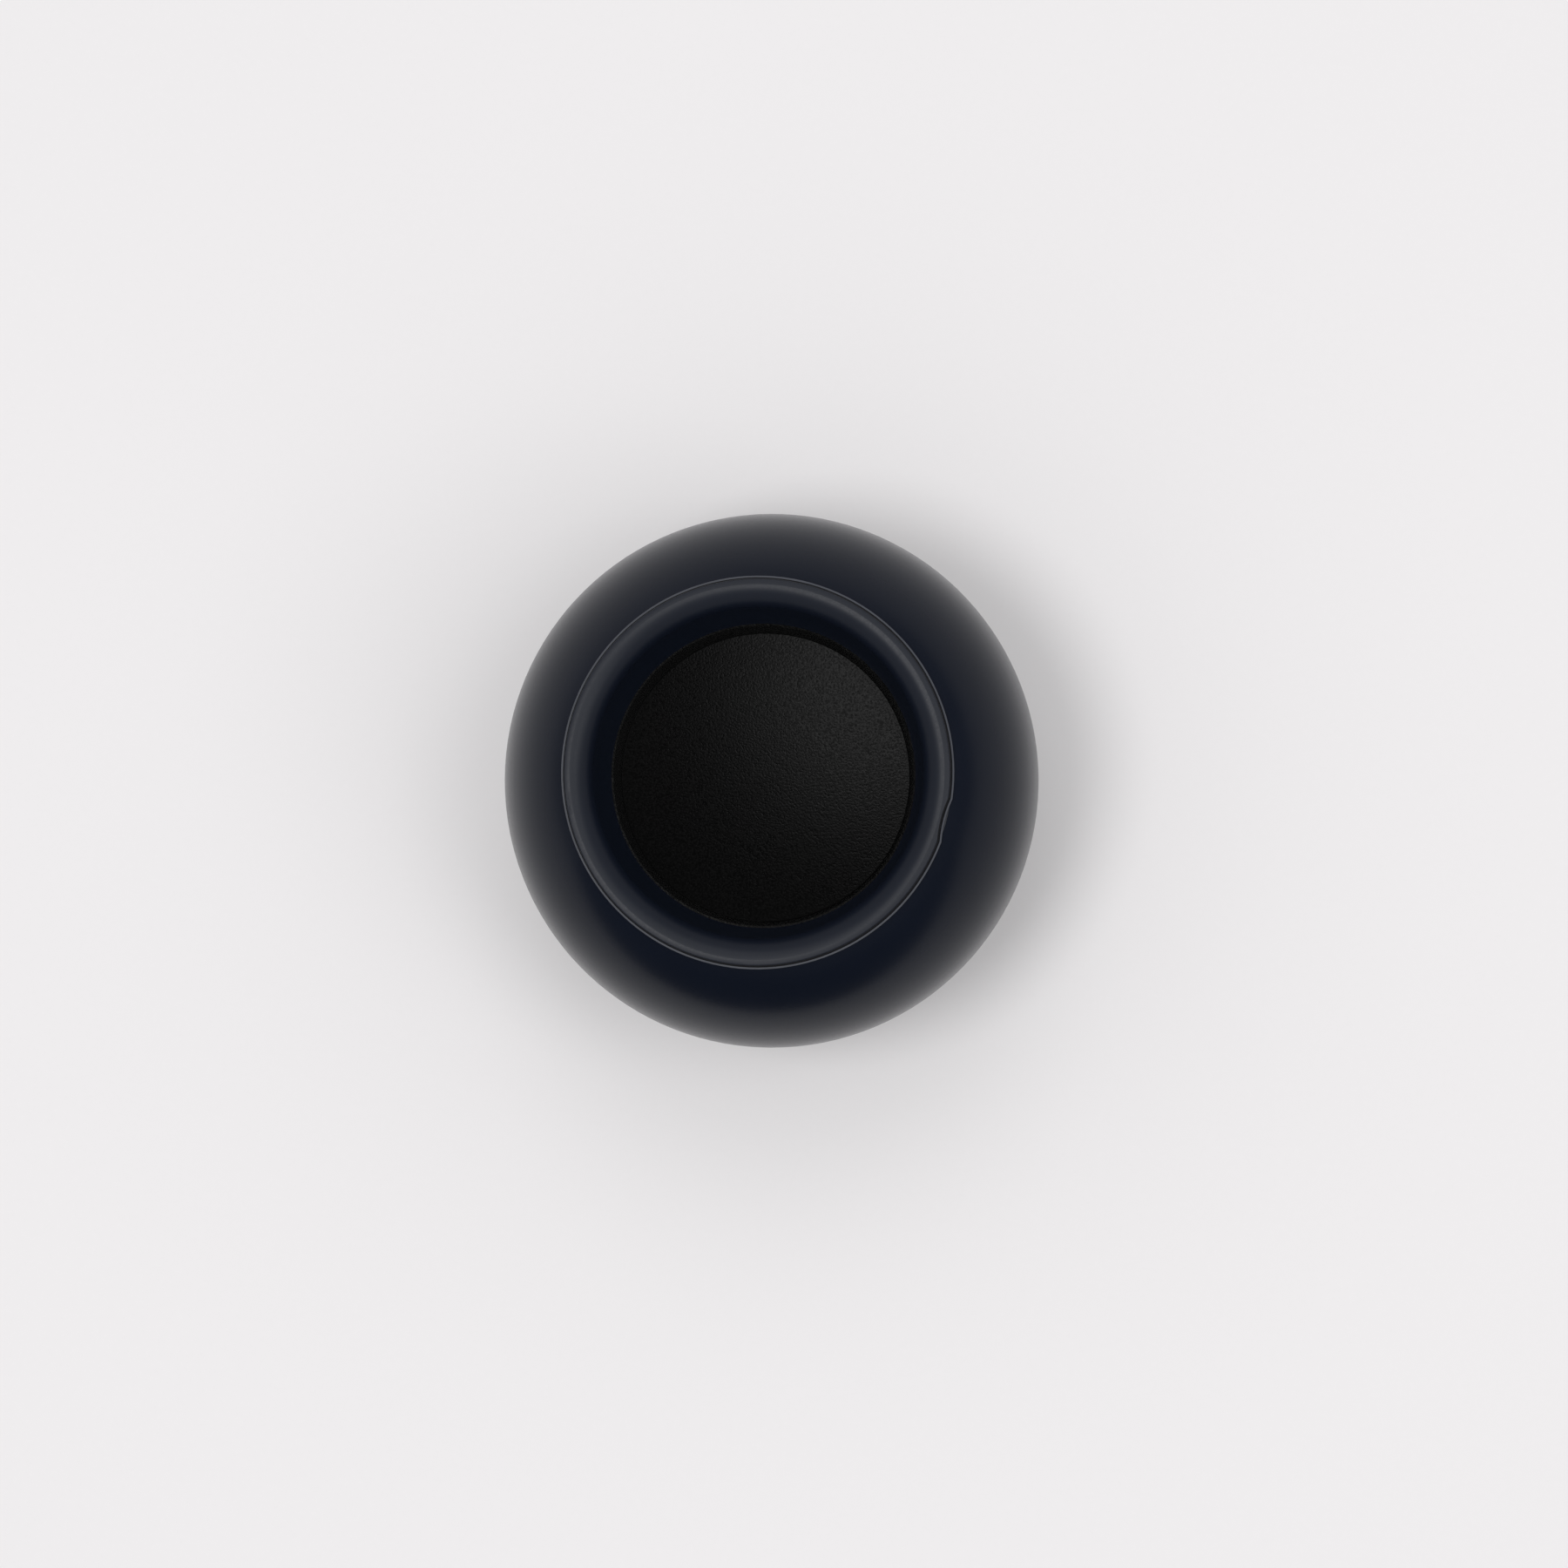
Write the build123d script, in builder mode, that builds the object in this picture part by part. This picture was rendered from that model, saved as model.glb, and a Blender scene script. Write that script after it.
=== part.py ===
from build123d import *
import math
import os

# Empty candle jar: a satin navy globe with a wide mouth, built double-walled.
# The globe shell carries a rolled lip collar, the collar carries a shallow black
# cup on a seal, and a plate with a rubber ring closes the globe underneath.
# Millimetres, +Z up, origin at the middle of the ring that the jar stands on.

# ---- driving dimensions -----------------------------------------------------

# Globe shell
globe_dia = 100.0          # widest diameter
globe_wall = 2.5           # wall of the moulded shell
base_dia = 56.0            # flat underside of the globe
base_edge_radius = 1.0     # rounding between the globe and its underside
guide_wall = 2.0           # ring inside the mouth that guides the collar
guide_height = 6.0         # height of that ring

# Rolled lip round the mouth
lip_dia = 71.5             # outer edge of the lip
lip_overhang = 0.3         # how far its edge stands out past its seat
lip_height = 2.2           # top of the roll above its seat on the shell
edge_width = 0.32          # fine raised edge round the outside of the lip
edge_height = 0.6          # top of that edge above the seat
groove_width = 0.33        # groove from the fine edge in to the roll's rounded edge
groove_depth = 0.25        # depth of that groove below the fine edge
roll_outer_radius = 4.0    # crown of the roll, falling gently outwards
roll_outer_sweep = 12.5    # how far round the crown goes, in degrees
roll_edge_radius = 0.2     # rounding between the crown and the roll's steep side
roll_edge_sweep = 60.0     # how far round that goes, in degrees
roll_inner_radius = 4.05   # inner side of the roll, easing into the throat

# Nick in the outer edge of the lip
nick_angle = -14.5         # where it is, in degrees about +Z from +X
nick_depth = 0.58          # how far it reaches in
nick_radius = 22.6         # curve of the hollow, seen from above
nick_widening = 0.03       # how much wider the groove is along the nick

# Throat of the collar
throat_draft = 9.6         # lean of its wall, in degrees from upright
throat_depth = 14.1        # from the lip's fine edge down to the cup
collar_wall = 1.8          # wall of the collar
stem_height = 5.0          # straight length under the lip, inside the mouth

# Black cup under the throat
cup_step = 0.35            # ledge of the cup that shows inside the throat
cup_draft = 7.7            # lean of its wall, in degrees from upright
cup_depth = 6.5            # from its ledge down to its floor
cup_wall = 1.8             # side wall
cup_dish = 1.4             # how far the floor sinks towards its middle
cup_floor = 1.8            # floor at its middle
cup_corner_radius = 0.25   # rounding between wall and floor
socket_height = 4.2        # rim that stands up round the collar's end
socket_wall = 1.5          # wall of that rim
socket_base = 2.6          # thickness under the collar's end

# Seal between collar and cup
seal_width = 1.0           # radial width of the ring
seal_height = 1.2          # height of the ring
seal_inset = 0.6           # from the cup's inner edge to the seal's groove

# Base plate, and the ring that the jar stands on
plate_thickness = 2.0      # plate let into the underside
recess_land = 1.6          # land of the shell left round the plate
ledge_width = 3.0          # ledge in the shell that the plate seats against
ledge_thickness = 2.0      # thickness of that ledge
plug_height = 4.0          # ring on the plate that fills the opening
plug_wall = 1.7            # wall of that ring
panel_dia = 34.0           # shallow panel in the plate's underside
panel_depth = 0.4          # depth of that panel
foot_dia = 47.0            # outside of the rubber ring
foot_width = 4.0           # radial width of the rubber ring
foot_thickness = 1.6       # thickness of the rubber ring
foot_proud = 0.8           # how far it stands out of its groove
foot_edge_radius = 0.4     # rounding of its lower edges

# Fits
sliding_gap = 0.2          # radial clearance where one piece slides into another
bond_gap = 0.15            # radial clearance filled by glue or taken by a seal

# ---- places worked out from them --------------------------------------------

globe_radius = globe_dia / 2
cavity_radius = globe_radius - globe_wall
underside_z = foot_proud
centre_z = underside_z + math.sqrt(globe_radius**2 - (base_dia / 2) ** 2)

lip_radius = lip_dia / 2
seat_radius = lip_radius - lip_overhang
seat_z = centre_z + math.sqrt(globe_radius**2 - seat_radius**2)
edge_z = seat_z + edge_height
groove_z = edge_z - groove_depth
lip_top_z = seat_z + lip_height
edge_inner_radius = lip_radius - edge_width
roll_side_radius = edge_inner_radius - groove_width
crown_end = math.radians(roll_outer_sweep)
side_start = math.radians(roll_outer_sweep + roll_edge_sweep)
crown_radius = (
    roll_side_radius
    - roll_outer_radius * math.sin(crown_end)
    - roll_edge_radius * (math.sin(side_start) - math.sin(crown_end))
)
roll_side_z = (
    lip_top_z
    - roll_outer_radius * (1 - math.cos(crown_end))
    - roll_edge_radius * (math.cos(crown_end) - math.cos(side_start))
)
side_slope = math.degrees(math.atan(groove_width / (roll_side_z - groove_z)))

draft = math.radians(throat_draft)
roll_end_radius = crown_radius - roll_inner_radius * math.cos(draft)
roll_end_z = lip_top_z - roll_inner_radius * (1 - math.sin(draft))
joint_z = edge_z - throat_depth
joint_radius = roll_end_radius - (roll_end_z - joint_z) * math.tan(draft)

stem_radius = roll_end_radius + collar_wall
mouth_radius = stem_radius + sliding_gap
collar_end_radius = joint_radius + collar_wall
socket_radius = collar_end_radius + bond_gap
socket_outer_radius = socket_radius + socket_wall
socket_top_z = joint_z + socket_height
shoulder_z = socket_top_z + bond_gap

cup_top_radius = joint_radius - cup_step
cup_floor_radius = cup_top_radius - cup_depth * math.tan(math.radians(cup_draft))
cup_floor_z = joint_z - cup_depth
cup_middle_z = cup_floor_z - cup_dish
cup_under_z = cup_middle_z - cup_floor
seal_radius = cup_top_radius + seal_inset + bond_gap

nick_distance = lip_radius - nick_depth + nick_radius
nick_centre = (
    nick_distance * math.cos(math.radians(nick_angle)),
    nick_distance * math.sin(math.radians(nick_angle)),
)

recess_radius = base_dia / 2 - recess_land
opening_radius = recess_radius - ledge_width
plate_top_z = underside_z + plate_thickness
plug_radius = opening_radius - sliding_gap
foot_radius = foot_dia / 2
foot_inner_radius = foot_radius - foot_width

os.makedirs("parts", exist_ok=True)

# ---- outer shell: the globe, open at the mouth and underneath ---------------

with BuildPart() as outer_shell:
    with BuildSketch(Plane.XZ):
        with Locations((0, centre_z)):
            Circle(globe_radius)
            Circle(cavity_radius, mode=Mode.SUBTRACT)
        # Ring inside the mouth, and the ledge that the base plate seats against.
        with Locations((0, seat_z)):
            Rectangle(2 * (mouth_radius + guide_wall), guide_height, align=(Align.CENTER, Align.MAX))
        with Locations((0, plate_top_z)):
            Rectangle(base_dia, ledge_thickness, align=(Align.CENTER, Align.MIN))
        with Locations((0, centre_z)):
            Circle(globe_radius, mode=Mode.INTERSECT)
        # Mouth, with the shell cut flat where the lip sits.
        with Locations((0, seat_z)):
            Rectangle(globe_dia, globe_dia, align=(Align.CENTER, Align.MIN), mode=Mode.SUBTRACT)
            Rectangle(2 * mouth_radius, globe_radius, align=(Align.CENTER, Align.MAX), mode=Mode.SUBTRACT)
        # Flat underside, with a recess for the plate and an opening above it.
        with Locations((0, underside_z)):
            Rectangle(globe_dia, globe_dia, align=(Align.CENTER, Align.MAX), mode=Mode.SUBTRACT)
            Rectangle(2 * recess_radius, plate_thickness, align=(Align.CENTER, Align.MIN), mode=Mode.SUBTRACT)
            Rectangle(2 * opening_radius, globe_radius, align=(Align.CENTER, Align.MIN), mode=Mode.SUBTRACT)
        # One half of the section, to turn about the upright axis.
        with Locations((0, centre_z)):
            Rectangle(globe_dia, 2 * globe_dia, align=(Align.MAX, Align.CENTER), mode=Mode.SUBTRACT)
    revolve(axis=Axis.Z)
    underside = outer_shell.faces().filter_by(Plane.XY).sort_by(Axis.Z)[0]
    fillet(underside.outer_wire().edges(), radius=base_edge_radius)

outer_shell.part.label = "outer_shell"
export_step(outer_shell.part, "parts/outer_shell.step")

# ---- lip collar: rolled lip, straight stem and tapered throat ---------------

with BuildPart() as lip_collar:
    with BuildSketch(Plane.XZ):
        with BuildLine():
            throat = Line((joint_radius, joint_z), (roll_end_radius, roll_end_z))
            inner_roll = TangentArc(throat @ 1, (crown_radius, lip_top_z), tangent=throat % 1)
            crown = JernArc(
                inner_roll @ 1, tangent=(1, 0), radius=roll_outer_radius, arc_size=-roll_outer_sweep
            )
            roll_edge = JernArc(
                crown @ 1, tangent=crown % 1, radius=roll_edge_radius, arc_size=-roll_edge_sweep
            )
            Polyline(
                roll_edge @ 1,
                (edge_inner_radius, groove_z),
                (edge_inner_radius, seat_z),
                (stem_radius, seat_z),
                (stem_radius, seat_z - stem_height),
                (socket_outer_radius, shoulder_z),
                (collar_end_radius, shoulder_z),
                (collar_end_radius, joint_z),
                throat @ 0,
            )
        make_face()
    revolve(axis=Axis.Z)
    # The side of the roll is pressed back along the nick.
    with BuildSketch(Plane.XY.offset(groove_z)):
        with Locations(nick_centre):
            Circle(nick_radius + edge_width + nick_widening)
    extrude(amount=lip_height, taper=-side_slope, mode=Mode.SUBTRACT)
    # Flange under the roll, with the nick in its edge.
    with BuildSketch(Plane.XY.offset(seat_z)):
        Circle(lip_radius)
        Circle(crown_radius, mode=Mode.SUBTRACT)
        with Locations(nick_centre):
            Circle(nick_radius, mode=Mode.SUBTRACT)
    extrude(amount=edge_height - groove_depth)
    # Groove and fine edge follow the outline of the flange.
    with BuildSketch(Plane.XY.offset(groove_z)) as fine_edge:
        Circle(edge_inner_radius)
        with Locations(nick_centre):
            Circle(nick_radius + edge_width, mode=Mode.SUBTRACT)
        inside_edge = fine_edge.sketch
        Circle(lip_radius)
        with Locations(nick_centre):
            Circle(nick_radius, mode=Mode.SUBTRACT)
        add(inside_edge, mode=Mode.SUBTRACT)
    extrude(amount=groove_depth)

lip_collar.part.label = "lip_collar"
export_step(lip_collar.part, "parts/lip_collar.step")

# ---- inner cup: shallow black cup, with a socket round the collar's end -----

with BuildPart() as inner_cup:
    with BuildSketch(Plane.XZ) as profile:
        with BuildLine():
            dished_floor = TangentArc(
                (0, cup_middle_z), (cup_floor_radius, cup_floor_z), tangent=(1, 0)
            )
            Polyline(
                dished_floor @ 1,
                (cup_top_radius, joint_z),
                (socket_radius, joint_z),
                (socket_radius, socket_top_z),
                (socket_outer_radius, socket_top_z),
                (socket_outer_radius, joint_z - socket_base),
                (cup_top_radius + cup_wall, joint_z - socket_base),
                (cup_floor_radius + cup_wall, cup_under_z),
                (0, cup_under_z),
                dished_floor @ 0,
            )
        make_face()
        floor_corner = profile.vertices().sort_by_distance((cup_floor_radius, cup_floor_z, 0))[0]
        fillet(floor_corner, radius=cup_corner_radius)
        # Groove for the seal, under the collar's end.
        with Locations((seal_radius - bond_gap, joint_z)):
            Rectangle(
                seal_width + 2 * bond_gap, seal_height, align=(Align.MIN, Align.MAX), mode=Mode.SUBTRACT
            )
    revolve(axis=Axis.Z)

inner_cup.part.label = "inner_cup"
export_step(inner_cup.part, "parts/inner_cup.step")

# ---- seal ring: squeezed between the collar's end and the cup ---------------

with BuildPart() as seal_ring:
    with BuildSketch(Plane.XY.offset(joint_z - seal_height)):
        Circle(seal_radius + seal_width)
        Circle(seal_radius, mode=Mode.SUBTRACT)
    extrude(amount=seal_height)

seal_ring.part.label = "seal_ring"
export_step(seal_ring.part, "parts/seal_ring.step")

# ---- base plate: closes the globe underneath --------------------------------

with BuildPart() as base_plate:
    with BuildSketch(Plane.XY.offset(underside_z)):
        Circle(recess_radius - sliding_gap)
    extrude(amount=plate_thickness)
    # Ring that fills the opening in the shell.
    with BuildSketch(Plane.XY.offset(plate_top_z)):
        Circle(plug_radius)
        Circle(plug_radius - plug_wall, mode=Mode.SUBTRACT)
    extrude(amount=plug_height)
    # Groove for the rubber ring, and a shallow panel inside it.
    with BuildSketch(Plane.XY.offset(underside_z)):
        Circle(foot_radius + bond_gap)
        Circle(foot_inner_radius - bond_gap, mode=Mode.SUBTRACT)
    extrude(amount=foot_thickness - foot_proud, mode=Mode.SUBTRACT)
    with BuildSketch(Plane.XY.offset(underside_z)):
        Circle(panel_dia / 2)
    extrude(amount=panel_depth, mode=Mode.SUBTRACT)

base_plate.part.label = "base_plate"
export_step(base_plate.part, "parts/base_plate.step")

# ---- foot ring: rubber ring that the jar stands on --------------------------

with BuildPart() as foot_ring:
    with BuildSketch():
        Circle(foot_radius)
        Circle(foot_inner_radius, mode=Mode.SUBTRACT)
    extrude(amount=foot_thickness)
    lower_edges = foot_ring.edges().group_by(Axis.Z)[0]
    fillet(lower_edges, radius=foot_edge_radius)

foot_ring.part.label = "foot_ring"
export_step(foot_ring.part, "parts/foot_ring.step")
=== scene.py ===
"""Empty candle jar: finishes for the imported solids, a pale floor, soft lamps and a camera."""

import math

import bpy
from bpy.props import FloatProperty, FloatVectorProperty, PointerProperty
from mathutils import Matrix, Vector


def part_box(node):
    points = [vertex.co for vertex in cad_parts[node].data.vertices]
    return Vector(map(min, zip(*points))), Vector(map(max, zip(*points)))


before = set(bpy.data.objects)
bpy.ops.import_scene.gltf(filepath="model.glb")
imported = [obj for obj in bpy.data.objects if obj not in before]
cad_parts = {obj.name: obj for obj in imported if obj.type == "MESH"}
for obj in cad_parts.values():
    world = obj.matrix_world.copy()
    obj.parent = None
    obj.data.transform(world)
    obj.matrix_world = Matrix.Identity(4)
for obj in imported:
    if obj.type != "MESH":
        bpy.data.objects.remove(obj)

bl_info = {
    "name": "Empty Candle Jar",
    "version": (1, 0, 0),
    "blender": (4, 5, 0),
    "location": "View3D > Sidebar > Candle Jar",
    "description": "Finishes a double-walled globe candle jar and sets it on a plain floor",
    "category": "Object",
}

MM = 0.001

# A Mix node that mixes colours has these sockets; the others are for numbers and vectors.
FACTOR, FIRST, SECOND, MIXED = 0, 6, 7, 2

# Soft boxes: name, bearing and rise in degrees, width in metres, power in watts.
LAMPS = (
    ("soft_box_left_high", 200, 77, 0.4, 4.7),
    ("soft_box_right_high", 0, 72, 0.4, 1.5),
    ("soft_box_right", 340, 55, 0.6, 1.4),
    ("soft_box_back", 90, 62, 0.6, 1.4),
)
LAMP_DISTANCE = 1.3

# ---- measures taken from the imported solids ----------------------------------

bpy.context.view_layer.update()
shell_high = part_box("outer_shell")[1]
collar_low, collar_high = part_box("lip_collar")

globe_radius = shell_high.x
lip_radius = collar_high.x
seat_height = shell_high.z
lip_overhang = 0.3 * MM
globe_centre = seat_height - math.sqrt(globe_radius**2 - (lip_radius - lip_overhang) ** 2)
fine_edge_top = seat_height + 0.6 * MM
fine_edge_width = 1.2 * MM
# How far in from the lip's edge the groove's painted shade reaches.
groove_shade_reach = 1.5 * MM
throat_end = collar_low.z


def linear(code):
    """Turn an sRGB hex code, a hash and six digits, into linear red, green and blue."""
    channels = [int(code[place:place + 2], 16) / 255 for place in (1, 3, 5)]
    return tuple(
        value / 12.92 if value <= 0.04045 else ((value + 0.055) / 1.055) ** 2.4
        for value in channels
    )


# ---- what a user would change -----------------------------------------------

class JarFinishes(bpy.types.PropertyGroup):
    """Colours and surface sizes of the jar's own pieces."""

    navy: FloatVectorProperty(
        name="Navy", description="Colour of the sprayed lacquer",
        subtype="COLOR", min=0, max=1, default=linear("#101520"),
    )
    # Paler grey of the fine edge: partly worn lacquer, partly a painted highlight.
    rubbed_edge_and_highlight: FloatVectorProperty(
        name="Rubbed edge", description="Colour where the lacquer is thin on the lip's edge",
        subtype="COLOR", min=0, max=1, default=linear("#3c3f48"),
    )
    black: FloatVectorProperty(
        name="Black", description="Colour of the moulded cup and base plate",
        subtype="COLOR", min=0, max=1, default=linear("#040404"),
    )
    rubber: FloatVectorProperty(
        name="Rubber", description="Colour of the seal and the foot ring",
        subtype="COLOR", min=0, max=1, default=linear("#161616"),
    )
    shell_roughness: FloatProperty(
        name="Shell roughness", description="How far the globe's lacquer spreads a reflection",
        subtype="FACTOR", min=0, max=1, default=0.22,
    )
    collar_roughness: FloatProperty(
        name="Collar roughness", description="How far the collar's lacquer spreads a reflection",
        subtype="FACTOR", min=0, max=1, default=0.38,
    )
    grain_width: FloatProperty(
        name="Grain width", description="Width of one grain on the cup's floor",
        subtype="DISTANCE", unit="LENGTH", min=0.1 * MM, max=2 * MM, default=0.38 * MM,
    )


class JarStage(bpy.types.PropertyGroup):
    """Floor and camera."""

    floor: FloatVectorProperty(
        name="Floor", description="Colour of the floor that the jar stands on",
        subtype="COLOR", min=0, max=1, default=linear("#ebe9ea"),
    )
    # The table's dark colour is painted shade for the globe to mirror.
    table: FloatVectorProperty(
        name="Table", description="Colour of the table under the paper",
        subtype="COLOR", min=0, max=1, default=linear("#1c1a19"),
    )
    room_light: FloatProperty(
        name="Room light", description="Strength of the even light from all round",
        min=0, max=1, default=0.61,
    )
    camera_distance: FloatProperty(
        name="Camera distance", description="From the lens to the middle of the globe",
        subtype="DISTANCE", unit="LENGTH", min=0.2, max=5, default=1.1,
    )
    camera_tilt: FloatProperty(
        name="Camera tilt", description="How far the camera leans away from straight overhead",
        subtype="ANGLE", unit="ROTATION", min=0, max=1.5, default=math.radians(4.76),
    )
    camera_turn: FloatProperty(
        name="Camera turn", description="Side that the camera leans to, from +X about +Z",
        subtype="ANGLE", unit="ROTATION", min=-3.2, max=3.2, default=math.radians(-31.3),
    )


# ---- nodes ------------------------------------------------------------------

def add_node(tree, kind, inputs, output, **settings):
    """Add a node, set its properties, set or link its inputs, and hand back one output."""
    node = tree.nodes.new(kind)
    for name, value in settings.items():
        setattr(node, name, value)
    for socket, value in inputs.items():
        if isinstance(value, bpy.types.NodeSocket):
            tree.links.new(value, node.inputs[socket])
        else:
            node.inputs[socket].default_value = value
    return node.outputs[output] if output is not None else None


def new_material(name):
    """Add a material and hand back its empty node tree and the object coordinates in it."""
    material = bpy.data.materials.new(name)
    material.use_nodes = True
    tree = material.node_tree
    tree.nodes.clear()
    return material, tree, add_node(tree, "ShaderNodeTexCoord", {}, "Object")


def opaque(colour, strength=1.0):
    """A colour with alpha, made darker or lighter by a factor."""
    return tuple(channel * strength for channel in colour) + (1.0,)


def close_tree(tree, shader_inputs):
    """Finish a tree with one principled shader and the material's output."""
    shader = add_node(tree, "ShaderNodeBsdfPrincipled", shader_inputs, "BSDF")
    add_node(tree, "ShaderNodeOutputMaterial", {"Surface": shader}, None)


# ---- materials --------------------------------------------------------------

def sprayed_lacquer(finishes, name, roughness):
    """Satin polyurethane lacquer sprayed on a moulding: an even navy with a faint fine stipple."""
    material, tree, place = new_material(name)
    navy = finishes.navy
    # The coat is a little thicker here and there, over patches of about 14 mm.
    cloud = add_node(
        tree, "ShaderNodeTexNoise", {"Vector": place, "Scale": 1 / (14 * MM)}, "Fac"
    )
    colour = add_node(
        tree, "ShaderNodeMix",
        {FACTOR: cloud, FIRST: opaque(navy, 0.9), SECOND: opaque(navy, 1.1)}, MIXED,
        data_type="RGBA",
    )
    # Spray droplets are about 0.1 mm; drawn at 0.35 mm, which is as fine as shows.
    stipple = add_node(
        tree, "ShaderNodeTexNoise", {"Vector": place, "Scale": 1 / (0.35 * MM), "Detail": 3.0}, "Fac"
    )
    gloss = add_node(
        tree, "ShaderNodeMapRange",
        {"Value": stipple, "From Min": 0.3, "From Max": 0.7,
         "To Min": roughness - 0.03, "To Max": roughness + 0.03},
        "Result",
    )
    skin = add_node(
        tree, "ShaderNodeBump", {"Strength": 0.25, "Distance": 0.01 * MM, "Height": stipple},
        "Normal",
    )
    return material, tree, place, colour, gloss, skin


def shell_lacquer(finishes):
    """Sprayed lacquer of the globe: smooth enough that its rim mirrors the pale floor softly."""
    material, tree, place, colour, gloss, skin = sprayed_lacquer(
        finishes, "sprayed_navy_lacquer", finishes.shell_roughness
    )
    close_tree(tree, {
        "Base Color": colour, "Roughness": gloss, "Normal": skin,
        "IOR": 1.45, "Specular IOR Level": 0.095,
    })
    return material


def collar_lacquer(finishes):
    """Sprayed lacquer of the collar, worn thin along the lip's fine edge, with a painted highlight on
    that edge and painted shade in the groove.
    """
    material, tree, place, colour, gloss, skin = sprayed_lacquer(
        finishes, "sprayed_navy_lacquer_rubbed_highlit", finishes.collar_roughness
    )
    height = add_node(tree, "ShaderNodeSeparateXYZ", {"Vector": place}, "Z")
    across = add_node(
        tree, "ShaderNodeVectorMath", {0: place, 1: (1, 1, 0)}, "Vector", operation="MULTIPLY"
    )
    radius = add_node(tree, "ShaderNodeVectorMath", {0: across}, "Value", operation="LENGTH")
    facing = add_node(tree, "ShaderNodeNewGeometry", {}, "Normal")
    upward = add_node(tree, "ShaderNodeSeparateXYZ", {"Vector": facing}, "Z")
    # The fine edge is level, stands at one height and runs round the outside of the lip.
    at_height = add_node(
        tree, "ShaderNodeMath", {0: height, 1: fine_edge_top, 2: 0.05 * MM}, "Value",
        operation="COMPARE",
    )
    outside = add_node(
        tree, "ShaderNodeMath", {0: radius, 1: lip_radius - fine_edge_width}, "Value",
        operation="GREATER_THAN",
    )
    level = add_node(tree, "ShaderNodeMath", {0: upward, 1: 0.7}, "Value", operation="GREATER_THAN")
    # The wear and the painted highlight come and go along about 5 mm of the edge.
    wear_and_highlight = add_node(
        tree, "ShaderNodeTexNoise", {"Vector": place, "Scale": 1 / (5 * MM)}, "Fac"
    )
    wear_and_highlight = add_node(
        tree, "ShaderNodeMapRange",
        {"Value": wear_and_highlight, "From Min": 0.3, "From Max": 0.7, "To Min": 0.7, "To Max": 1.0}, "Result",
    )
    for mask in (at_height, outside, level):
        wear_and_highlight = add_node(tree, "ShaderNodeMath", {0: wear_and_highlight, 1: mask}, "Value", operation="MULTIPLY")
    # Painted highlight and wear: the level top of the fine edge takes a paler grey.
    colour = add_node(
        tree, "ShaderNodeMix",
        {FACTOR: wear_and_highlight, FIRST: colour, SECOND: opaque(finishes.rubbed_edge_and_highlight)}, MIXED,
        data_type="RGBA",
    )
    # The colour grows lighter further down the throat, by half again at its bottom.
    bloom = add_node(
        tree, "ShaderNodeMapRange",
        {"Value": height, "From Min": throat_end, "From Max": seat_height,
         "To Min": 1.5, "To Max": 1.0},
        "Result",
    )
    colour = add_node(
        tree, "ShaderNodeVectorMath", {0: colour, "Scale": bloom}, "Vector", operation="SCALE"
    )
    # Painted shade: the steep side of the groove takes a dark navy for the shade in the groove, and its
    # lacquer is made dull.
    steep = add_node(tree, "ShaderNodeMath", {0: upward, 1: 0.45}, "Value", operation="LESS_THAN")
    beside = add_node(
        tree, "ShaderNodeMath", {0: radius, 1: lip_radius - groove_shade_reach}, "Value",
        operation="GREATER_THAN",
    )
    groove_painted_shade = add_node(tree, "ShaderNodeMath", {0: steep, 1: beside}, "Value", operation="MULTIPLY")
    colour = add_node(
        tree, "ShaderNodeMix",
        {FACTOR: groove_painted_shade, FIRST: colour, SECOND: opaque(finishes.navy, 0.3)}, MIXED,
        data_type="RGBA",
    )
    gloss = add_node(tree, "ShaderNodeMath", {0: gloss, 1: groove_painted_shade}, "Value", operation="MAXIMUM")
    close_tree(tree, {
        "Base Color": colour, "Roughness": gloss, "Normal": skin,
        "IOR": 1.45, "Specular IOR Level": 0.26,
    })
    return material


def moulded_black(finishes, name, grain_width, grain_depth, roughness):
    """Black polypropylene moulded against a spark-eroded tool: neutral, satin, finely grained."""
    material, tree, place = new_material(name)
    # Each grain is as wide as the spark pits in the tool, 0.3 to 0.4 mm.
    grain = add_node(
        tree, "ShaderNodeTexNoise", {"Vector": place, "Scale": 1 / grain_width, "Detail": 3.0}, "Fac"
    )
    # The black is a little uneven where the melt cooled, over about 9 mm.
    shade = add_node(
        tree, "ShaderNodeTexNoise", {"Vector": place, "Scale": 1 / (9 * MM)}, "Fac"
    )
    colour = add_node(
        tree, "ShaderNodeMix",
        {FACTOR: shade, FIRST: opaque(finishes.black, 0.9), SECOND: opaque(finishes.black, 1.1)}, MIXED,
        data_type="RGBA",
    )
    # Upright walls take a paler grey, partly dust and partly a painted sheen; level faces keep the plain
    # black.
    facing = add_node(tree, "ShaderNodeNewGeometry", {}, "Normal")
    upward = add_node(tree, "ShaderNodeSeparateXYZ", {"Vector": facing}, "Z")
    level = add_node(tree, "ShaderNodeMath", {0: upward}, "Value", operation="ABSOLUTE")
    dust_and_painted_sheen = add_node(
        tree, "ShaderNodeMapRange",
        {"Value": level, "From Min": 0.2, "From Max": 0.8, "To Min": 1.0, "To Max": 0.0}, "Result",
    )
    colour = add_node(
        tree, "ShaderNodeMix",
        {FACTOR: dust_and_painted_sheen, FIRST: colour, SECOND: opaque(finishes.black, 9.0)}, MIXED,
        data_type="RGBA",
    )
    skin = add_node(
        tree, "ShaderNodeBump", {"Distance": grain_depth, "Height": grain}, "Normal"
    )
    # The tops of the grains are rubbed smoother than the hollows between them.
    gloss = add_node(
        tree, "ShaderNodeMapRange",
        {"Value": grain, "From Min": 0.35, "From Max": 0.65,
         "To Min": 1.6 * roughness, "To Max": 0.4 * roughness},
        "Result",
    )
    close_tree(tree, {
        "Base Color": colour, "Roughness": gloss, "Normal": skin,
        "IOR": 1.49, "Specular IOR Level": 0.028,
    })
    return material


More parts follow.
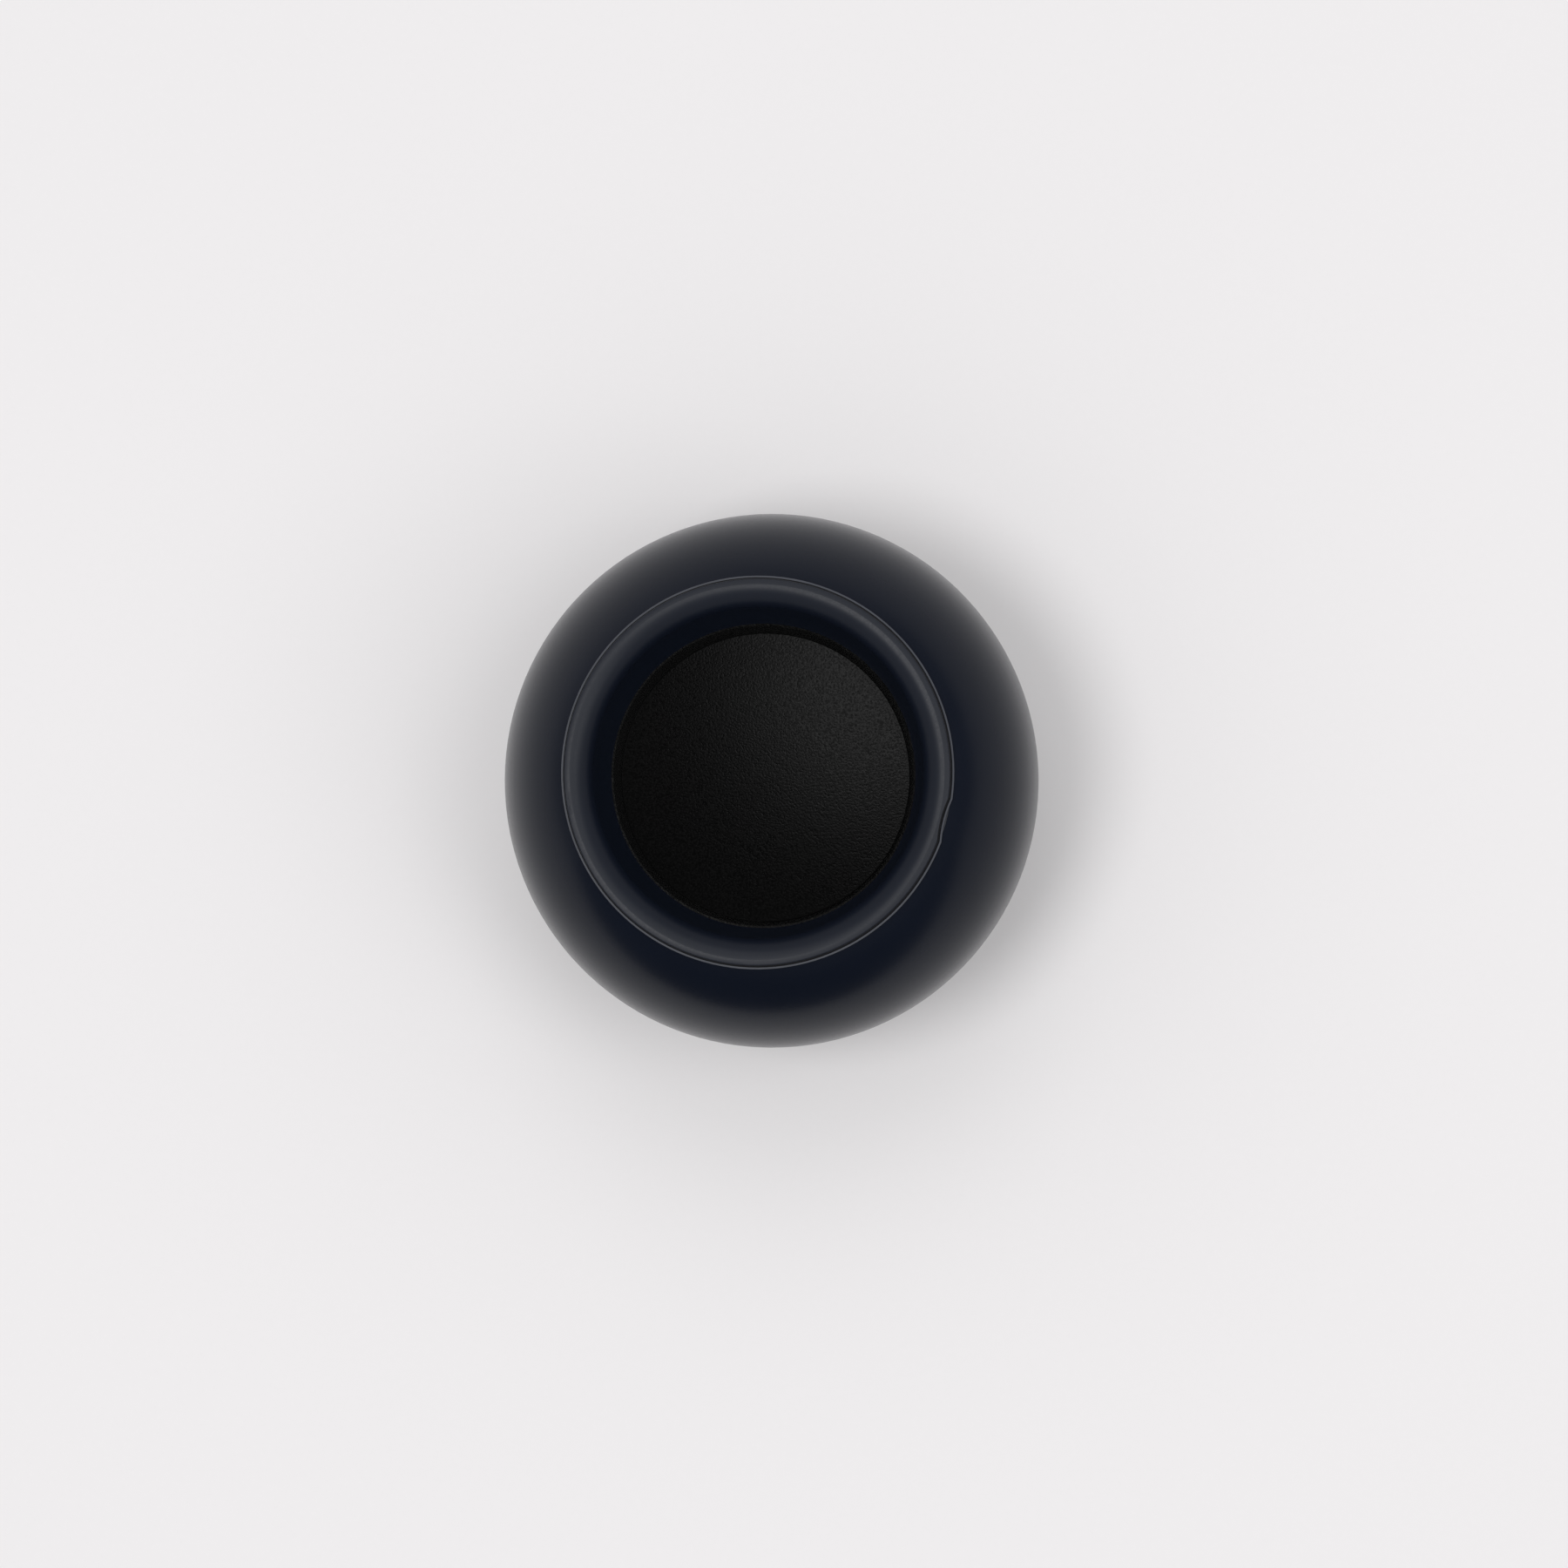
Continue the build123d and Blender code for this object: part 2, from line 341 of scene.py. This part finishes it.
def moulded_rubber(finishes, name):
    """Moulded rubber: matt, with the dry bloom that spreads every reflection."""
    material, tree, place = new_material(name)
    # The bloom comes in patches about 3 mm wide.
    bloom = add_node(tree, "ShaderNodeTexNoise", {"Vector": place, "Scale": 1 / (3 * MM)}, "Fac")
    colour = add_node(
        tree, "ShaderNodeMix",
        {FACTOR: bloom, FIRST: opaque(finishes.rubber, 0.8), SECOND: opaque(finishes.rubber, 1.3)}, MIXED,
        data_type="RGBA",
    )
    gloss = add_node(
        tree, "ShaderNodeMapRange",
        {"Value": bloom, "From Min": 0.3, "From Max": 0.7, "To Min": 0.75, "To Max": 0.85}, "Result",
    )
    # The skin of moulded rubber is rough at about 0.3 mm.
    rough = add_node(
        tree, "ShaderNodeTexNoise", {"Vector": place, "Scale": 1 / (0.3 * MM), "Detail": 3.0}, "Fac"
    )
    skin = add_node(
        tree, "ShaderNodeBump", {"Strength": 0.4, "Distance": 0.02 * MM, "Height": rough}, "Normal"
    )
    close_tree(tree, {"Base Color": colour, "Roughness": gloss, "Normal": skin, "IOR": 1.52})
    return material


def stained_table(stage):
    """Dark stained oak: long soft streaks of grain under a dull oil. Its dark colour is painted shade,
    which the globe mirrors at its front.
    """
    material, tree, place = new_material("stained_oak_table")
    # Oak's streaks run along X, about 4 mm wide and ten times as long.
    along = add_node(
        tree, "ShaderNodeVectorMath", {0: place, 1: (0.1, 1, 1)}, "Vector", operation="MULTIPLY"
    )
    streaks = add_node(
        tree, "ShaderNodeTexNoise", {"Vector": along, "Scale": 1 / (4 * MM), "Detail": 4.0}, "Fac"
    )
    colour = add_node(
        tree, "ShaderNodeMix",
        {FACTOR: streaks, FIRST: opaque(stage.table, 0.7), SECOND: opaque(stage.table, 1.3)}, MIXED,
        data_type="RGBA",
    )
    close_tree(tree, {"Base Color": colour, "Roughness": 0.7, "Specular IOR Level": 0.2})
    return material


def rolled_paper(stage):
    """Matt background paper: pale, very faintly mottled by its fibres."""
    material, tree, place = new_material("matt_background_paper")
    # Paper fibres clump over about 1.5 mm.
    fibres = add_node(
        tree, "ShaderNodeTexNoise", {"Vector": place, "Scale": 1 / (1.5 * MM), "Detail": 4.0}, "Fac"
    )
    colour = add_node(
        tree, "ShaderNodeMix",
        {FACTOR: fibres, FIRST: opaque(stage.floor, 0.985), SECOND: opaque(stage.floor)}, MIXED,
        data_type="RGBA",
    )
    close_tree(tree, {"Base Color": colour, "Roughness": 0.9, "Specular IOR Level": 0.1})
    return material


def dress(node, material):
    """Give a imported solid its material, and keep that solid's own shape."""
    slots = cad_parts[node].data.materials
    slots.clear()
    slots.append(material)


# ---- operators --------------------------------------------------------------

class JAR_OT_outer_shell(bpy.types.Operator):
    """Give the globe its sprayed navy lacquer"""

    bl_idname = "candle_jar.outer_shell"
    bl_label = "Outer Shell"

    def execute(self, context):
        dress("outer_shell", shell_lacquer(context.scene.jar_finishes))
        return {"FINISHED"}


class JAR_OT_lip_collar(bpy.types.Operator):
    """Give the lip and throat their lacquer, rubbed thin and with a painted highlight on the fine edge,
    and painted shade in the groove
    """

    bl_idname = "candle_jar.lip_collar"
    bl_label = "Lip Collar"

    def execute(self, context):
        dress("lip_collar", collar_lacquer(context.scene.jar_finishes))
        return {"FINISHED"}


class JAR_OT_inner_cup(bpy.types.Operator):
    """Give the cup its black moulding, grained on the floor"""

    bl_idname = "candle_jar.inner_cup"
    bl_label = "Inner Cup"

    def execute(self, context):
        finishes = context.scene.jar_finishes
        material = moulded_black(
            finishes, "moulded_black_cup",
            grain_width=finishes.grain_width, grain_depth=0.031 * MM, roughness=0.19,
        )
        dress("inner_cup", material)
        return {"FINISHED"}


class JAR_OT_base_plate(bpy.types.Operator):
    """Give the base plate its black moulding"""

    bl_idname = "candle_jar.base_plate"
    bl_label = "Base Plate"

    def execute(self, context):
        finishes = context.scene.jar_finishes
        material = moulded_black(
            finishes, "moulded_black_plate",
            grain_width=0.3 * MM, grain_depth=0.006 * MM, roughness=0.5,
        )
        dress("base_plate", material)
        return {"FINISHED"}


class JAR_OT_rubber_rings(bpy.types.Operator):
    """Give the hidden seal and the foot ring their moulded rubber"""

    bl_idname = "candle_jar.rubber_rings"
    bl_label = "Rubber Rings"

    def execute(self, context):
        finishes = context.scene.jar_finishes
        dress("seal_ring", moulded_rubber(finishes, "moulded_silicone_seal"))
        dress("foot_ring", moulded_rubber(finishes, "moulded_rubber_foot"))
        return {"FINISHED"}


def add_sheet(name, corners, material):
    """A flat four-sided piece of the stage."""
    mesh = bpy.data.meshes.new(name)
    mesh.from_pydata(corners, [], [(0, 1, 2, 3)])
    mesh.materials.append(material)
    sheet = bpy.data.objects.new(name, mesh)
    bpy.context.scene.collection.objects.link(sheet)


def add_lamp(name, turn, height, width, power):
    """A round soft box that faces the jar, at a bearing from +X about +Z and a rise, in degrees."""
    bearing, rise = math.radians(turn), math.radians(height)
    away = Vector((
        math.cos(bearing) * math.cos(rise), math.sin(bearing) * math.cos(rise), math.sin(rise)
    ))
    light = bpy.data.lights.new(name, "AREA")
    light.shape = "DISK"
    light.size = width
    light.energy = power
    lamp = bpy.data.objects.new(name, light)
    lamp.location = Vector((0, 0, globe_centre)) + away * LAMP_DISTANCE
    lamp.rotation_euler = away.to_track_quat("Z", "Y").to_euler()
    bpy.context.scene.collection.objects.link(lamp)


def add_camera(stage):
    """A long lens almost straight above the jar, with the jar a little left of the middle."""
    globe_middle = Vector((0, 0, globe_centre))
    lean, side = stage.camera_tilt, stage.camera_turn
    away = Vector((
        math.sin(lean) * math.cos(side), math.sin(lean) * math.sin(side), math.cos(lean)
    ))
    upward = Vector((0, 1, 0))
    right = upward.cross(away).normalized()
    up = away.cross(right)
    # The jar stands a little left of the middle of the view, and a little above it.
    aim_right, aim_down = 2.31 * MM, 0.6 * MM
    aim = globe_middle + right * aim_right - up * aim_down
    lens = bpy.data.cameras.new("camera")
    lens.sensor_width = 36
    lens.lens = 134.7
    camera = bpy.data.objects.new("camera", lens)
    camera.matrix_world = Matrix.Translation(aim + away * stage.camera_distance) @ Matrix(
        (right, up, away)
    ).transposed().to_4x4()
    bpy.context.scene.collection.objects.link(camera)
    bpy.context.scene.camera = camera


def set_world(stage):
    """An even pale room round the lamps."""
    world = bpy.data.worlds.new("room")
    bpy.context.scene.world = world
    world.use_nodes = True
    tree = world.node_tree
    tree.nodes.clear()
    room = add_node(
        tree, "ShaderNodeBackground",
        {"Color": opaque((1, 1, 1)), "Strength": stage.room_light}, "Background",
    )
    add_node(tree, "ShaderNodeOutputWorld", {"Surface": room}, None)


class JAR_OT_stage(bpy.types.Operator):
    """Add the table, the paper, the lamps, the room and the camera"""

    bl_idname = "candle_jar.stage"
    bl_label = "Stage"

    def execute(self, context):
        stage = context.scene.jar_stage
        reach, below = 3, -0.5 * MM
        add_sheet(
            "table",
            [(-reach, -reach, below), (reach, -reach, below), (reach, reach, below),
             (-reach, reach, below)],
            stained_table(stage),
        )
        # The paper ends a little in front of the view, so the globe mirrors the dark table there as
        # painted shade.
        side, front, back = 0.45, -0.157, 0.9
        add_sheet(
            "floor", [(-side, front, 0), (side, front, 0), (side, back, 0), (-side, back, 0)],
            rolled_paper(stage),
        )
        set_world(stage)
        for name, turn, height, width, power in LAMPS:
            add_lamp(name, turn, height, width, power)
        add_camera(stage)
        context.scene.view_settings.view_transform = "Standard"
        return {"FINISHED"}


class JAR_PT_panel(bpy.types.Panel):
    """Buttons for each group of pieces and for the stage"""

    bl_idname = "JAR_PT_panel"
    bl_label = "Empty Candle Jar"
    bl_space_type = "VIEW_3D"
    bl_region_type = "UI"
    bl_category = "Candle Jar"

    def draw(self, context):
        for group in (context.scene.jar_finishes, context.scene.jar_stage):
            box = self.layout.box()
            for name in type(group).__annotations__:
                box.prop(group, name)
        for operator in OPERATORS:
            self.layout.operator(operator.bl_idname)


OPERATORS = (
    JAR_OT_outer_shell,
    JAR_OT_lip_collar,
    JAR_OT_inner_cup,
    JAR_OT_base_plate,
    JAR_OT_rubber_rings,
    JAR_OT_stage,
)
CLASSES = (JarFinishes, JarStage) + OPERATORS + (JAR_PT_panel,)


def register():
    for each in CLASSES:
        bpy.utils.register_class(each)
    bpy.types.Scene.jar_finishes = PointerProperty(type=JarFinishes)
    bpy.types.Scene.jar_stage = PointerProperty(type=JarStage)


def unregister():
    del bpy.types.Scene.jar_finishes
    del bpy.types.Scene.jar_stage
    for each in reversed(CLASSES):
        bpy.utils.unregister_class(each)


def main():
    """Dress every solid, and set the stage."""
    register()
    bpy.ops.candle_jar.outer_shell()
    bpy.ops.candle_jar.lip_collar()
    bpy.ops.candle_jar.inner_cup()
    bpy.ops.candle_jar.base_plate()
    bpy.ops.candle_jar.rubber_rings()
    bpy.ops.candle_jar.stage()


if __name__ == "__main__":
    main()
